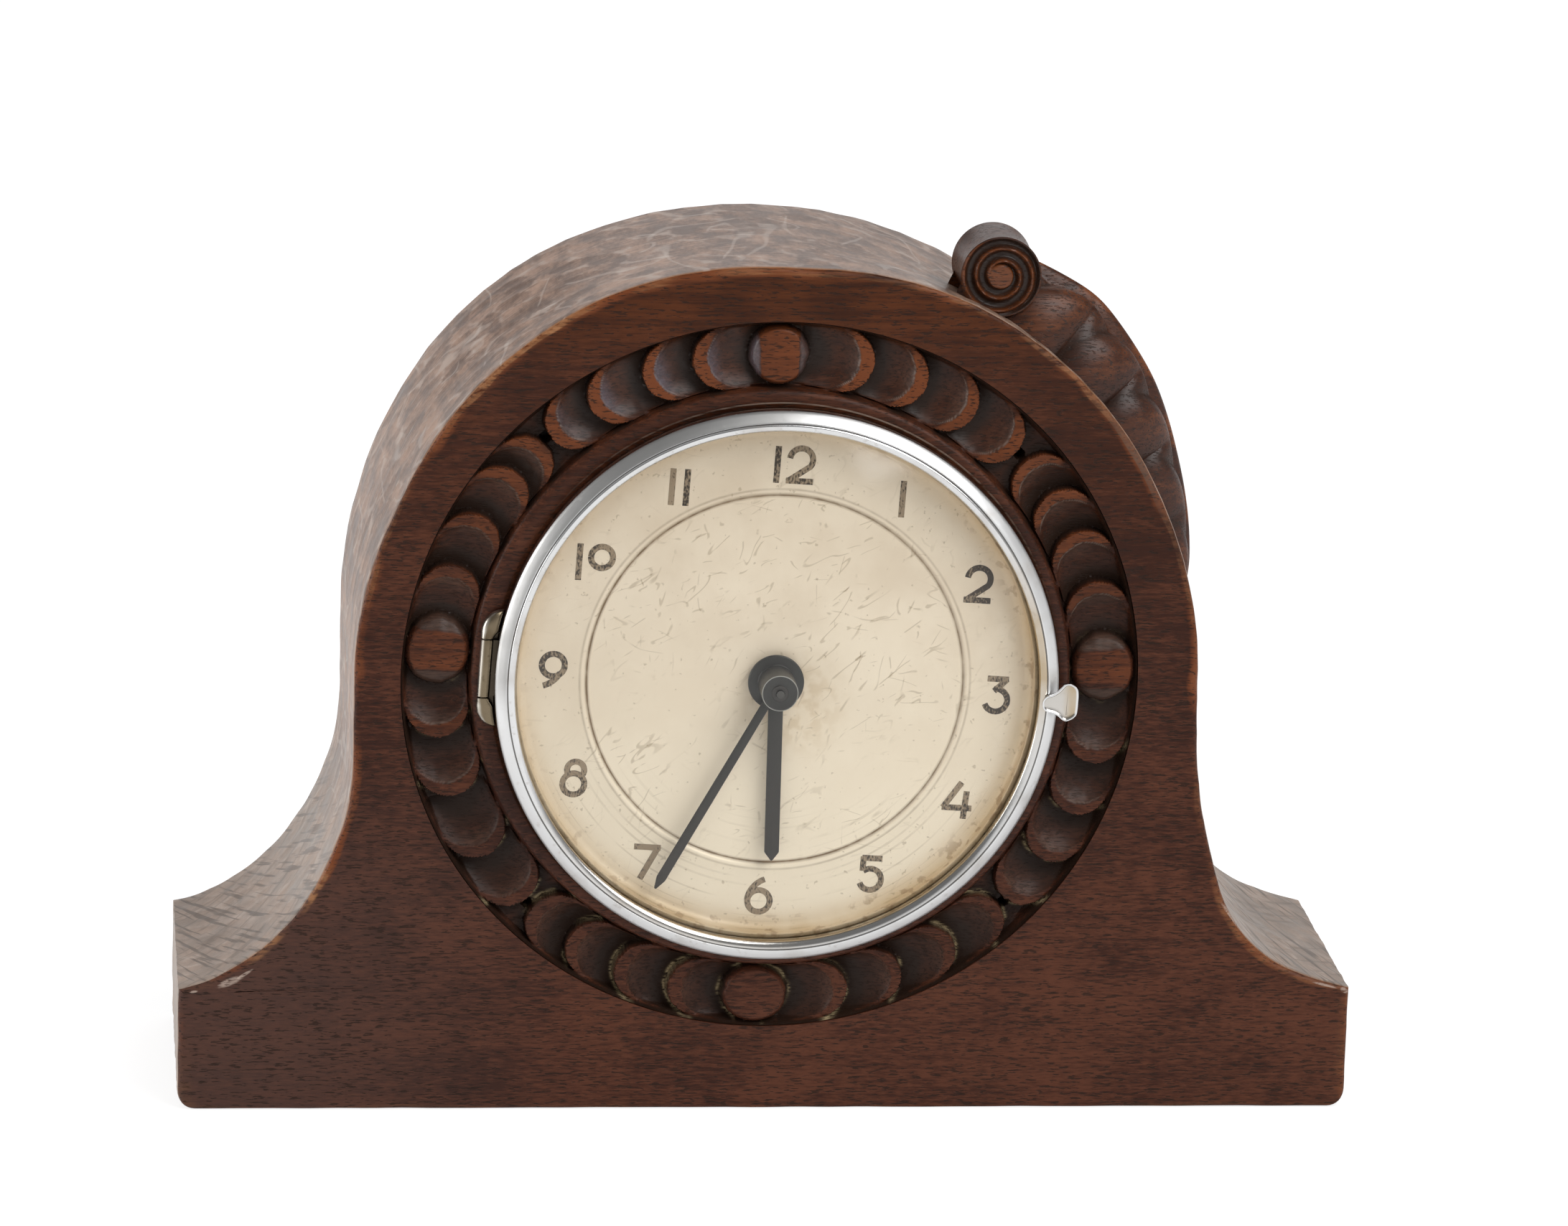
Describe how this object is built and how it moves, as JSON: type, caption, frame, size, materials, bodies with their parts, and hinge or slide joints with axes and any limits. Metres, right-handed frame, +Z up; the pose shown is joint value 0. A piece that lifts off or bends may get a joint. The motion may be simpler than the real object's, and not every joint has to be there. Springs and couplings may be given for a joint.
{
  "type": "mantel clock",
  "caption": "Arched oak mantel clock with swept feet, a carved dial surround, a hinged domed-glass bezel, baton hands and a back-wound lever movement.",
  "frame": {"origin": "centre of the underside, on the surface the clock stands on", "axes": "+X to the right seen from the front, -Y toward the viewer, +Z up"},
  "size_m": [0.33, 0.1121, 0.2484],
  "materials": {
    "oak": "dark waxed oak",
    "chrome": "worn chromium plate",
    "glass": "clear, domed",
    "silvered": "silvered, matt, aged",
    "black": "black lacquer",
    "hinge_metal": "tarnished",
    "brass": "satin",
    "steel": "bright"
  },
  "bodies": {
    "case": {"case_body": "oak", "carved_surround": "oak", "shoulder_leaf": "oak", "leaf_dowels": "oak", "back_cover": "oak", "back_cover_screws": "brass", "dial_pan": "brass", "dial_pan_screws": "brass", "dial_plate": "silvered", "dial_feet": "brass", "dial_foot_nuts": "brass", "hinge_leaf_case": "hinge_metal", "hinge_pin": "hinge_metal", "front_plate": "brass", "back_plate": "brass", "plate_pillars": "brass", "pillar_screws": "steel", "minute_wheel_stud": "steel", "click_screw": "steel", "hairspring": "steel"},
    "door": {"bezel_ring": "chrome", "dial_glass": "glass", "glass_retainer": "brass", "hinge_leaf_bezel": "hinge_metal", "thumb_tab": "chrome"},
    "minute_group": {"minute_hand": "black", "hand_nut": "steel", "cannon_pinion": "steel", "centre_arbor": "steel", "centre_wheel": "brass", "setting_knob": "brass"},
    "hour_group": {"hour_hand": "black", "hour_wheel": "brass"},
    "minute_wheel_body": {"minute_wheel": "brass"},
    "intermediate_group": {"intermediate_arbor": "steel", "intermediate_wheel": "brass"},
    "barrel_group": {"barrel_drum": "brass", "barrel_cover": "brass", "mainspring": "steel"},
    "winding_group": {"barrel_arbor": "steel", "ratchet_wheel": "brass", "winding_key": "brass"},
    "third_group": {"third_arbor": "steel", "third_wheel": "brass"},
    "fourth_group": {"fourth_arbor": "steel", "fourth_wheel": "brass"},
    "escape_group": {"escape_arbor": "steel", "escape_wheel": "brass"},
    "pallet_body": {"pallet_lever": "steel"},
    "balance_group": {"balance_staff": "steel", "balance_wheel": "brass"},
    "click_body": {"click": "steel"},
    "index_body": {"regulator_index": "steel"}
  },
  "joints": [
    {"name": "door_hinge", "type": "hinge", "parent": "case", "child": "door", "pos_m": [-0.08107, -0.0486, 0.12817], "axis": [-0.0576, 0, -0.9983], "range_deg": [0, 115]},
    {"name": "minute_turn", "type": "hinge", "parent": "case", "child": "minute_group", "pos_m": [0, -0.046, 0.1235], "axis": [0, 1, 0], "continuous": true},
    {"name": "hour_turn", "type": "hinge", "parent": "case", "child": "hour_group", "pos_m": [0, -0.046, 0.1235], "axis": [0, 1, 0], "continuous": true},
    {"name": "minute_wheel_turn", "type": "hinge", "parent": "case", "child": "minute_wheel_body", "pos_m": [0.00659, -0.046, 0.13353], "axis": [0, 1, 0], "continuous": true},
    {"name": "intermediate_turn", "type": "hinge", "parent": "case", "child": "intermediate_group", "pos_m": [-0.02352, -0.046, 0.11445], "axis": [0, 1, 0], "continuous": true},
    {"name": "barrel_turn", "type": "hinge", "parent": "case", "child": "barrel_group", "pos_m": [-0.00184, -0.046, 0.09159], "axis": [0, 1, 0], "continuous": true},
    {"name": "third_turn", "type": "hinge", "parent": "case", "child": "third_group", "pos_m": [0.0201, -0.046, 0.13361], "axis": [0, 1, 0], "continuous": true},
    {"name": "fourth_turn", "type": "hinge", "parent": "case", "child": "fourth_group", "pos_m": [0.01399, -0.046, 0.15396], "axis": [0, 1, 0], "continuous": true},
    {"name": "escape_turn", "type": "hinge", "parent": "case", "child": "escape_group", "pos_m": [-0.00398, -0.046, 0.155], "axis": [0, 1, 0], "continuous": true},
    {"name": "winding_turn", "type": "hinge", "parent": "case", "child": "winding_group", "pos_m": [-0.00184, -0.046, 0.09159], "axis": [0, 1, 0], "range_deg": [0, 1800]},
    {"name": "pallet_swing", "type": "hinge", "parent": "case", "child": "pallet_body", "pos_m": [-0.01356, -0.046, 0.15555], "axis": [0, 1, 0], "range_deg": [-5, 5]},
    {"name": "balance_swing", "type": "hinge", "parent": "case", "child": "balance_group", "pos_m": [-0.02505, -0.046, 0.1521], "axis": [0, 1, 0], "range_deg": [-120, 120], "stiffness_Nm_per_rad": 0.000016},
    {"name": "click_lift", "type": "hinge", "parent": "case", "child": "click_body", "pos_m": [-0.00394, -0.046, 0.10947], "axis": [0, -1, 0], "range_deg": [0, 12]},
    {"name": "index_turn", "type": "hinge", "parent": "case", "child": "index_body", "pos_m": [-0.02505, -0.046, 0.1521], "axis": [0, 1, 0], "range_deg": [-20, 20]}
  ],
  "couplings": [
    {"joint": "hour_turn", "follows": "minute_turn", "ratio": 0.083333},
    {"joint": "minute_wheel_turn", "follows": "minute_turn", "ratio": -0.33333},
    {"joint": "intermediate_turn", "follows": "minute_turn", "ratio": -0.16667},
    {"joint": "barrel_turn", "follows": "minute_turn", "ratio": 0.025641},
    {"joint": "third_turn", "follows": "minute_turn", "ratio": -8},
    {"joint": "fourth_turn", "follows": "minute_turn", "ratio": 60},
    {"joint": "escape_turn", "follows": "minute_turn", "ratio": -480}
  ]
}
